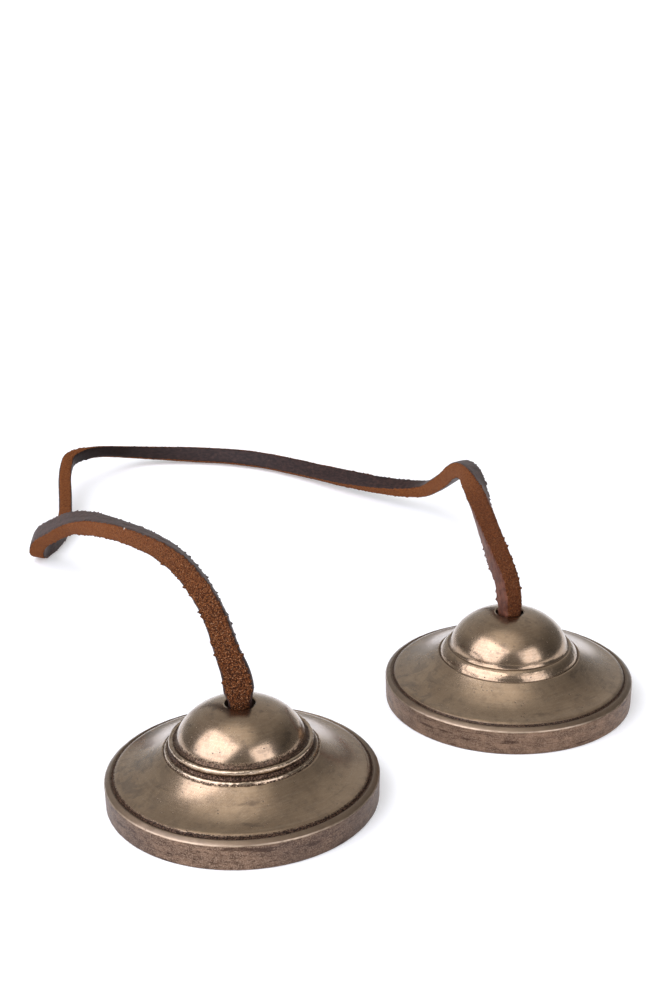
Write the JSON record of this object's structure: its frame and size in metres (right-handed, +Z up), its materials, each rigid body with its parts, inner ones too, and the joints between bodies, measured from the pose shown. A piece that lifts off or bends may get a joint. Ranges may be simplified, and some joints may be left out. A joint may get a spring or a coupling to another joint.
{
  "type": "tingsha cymbals",
  "caption": "Pair of small cast bronze hand cymbals with domed crowns, tied to the ends of one leather thong and struck rim against rim to ring.",
  "frame": {"origin": "on the surface that the cymbals stand on, midway between the two cymbals' axes", "axes": "+X from the front cymbal's axis to the rear cymbal's axis, +Z up along the cymbals' axes, +Y towards the side where the thong's loop lies"},
  "size_m": [0.1869, 0.2646, 0.0486],
  "materials": {
    "bronze": "satin, lightly aged cast bell bronze",
    "leather": "brown thong with dark smooth faces and rough suede cut faces"
  },
  "bodies": {
    "thong": {"leather_thong": "leather"},
    "front_knot": {"front_knot": "leather"},
    "front_cymbal": {"front_cymbal": "bronze"},
    "rear_knot": {"rear_knot": "leather"},
    "rear_cymbal": {"rear_cymbal": "bronze"}
  },
  "joints": [
    {"name": "front_swivel", "type": "hinge", "parent": "thong", "child": "front_knot", "pos_m": [-0.042, 0, 0.0231], "axis": [0, 0, 1], "continuous": true},
    {"name": "front_tilt", "type": "hinge", "parent": "front_knot", "child": "front_cymbal", "pos_m": [-0.042, 0, 0.0231], "axis": [0, 1, 0], "range_deg": [-15, 15]},
    {"name": "rear_swivel", "type": "hinge", "parent": "thong", "child": "rear_knot", "pos_m": [0.042, 0, 0.0231], "axis": [0, 0, 1], "continuous": true},
    {"name": "rear_tilt", "type": "hinge", "parent": "rear_knot", "child": "rear_cymbal", "pos_m": [0.042, 0, 0.0231], "axis": [0, 1, 0], "range_deg": [-15, 15]}
  ]
}
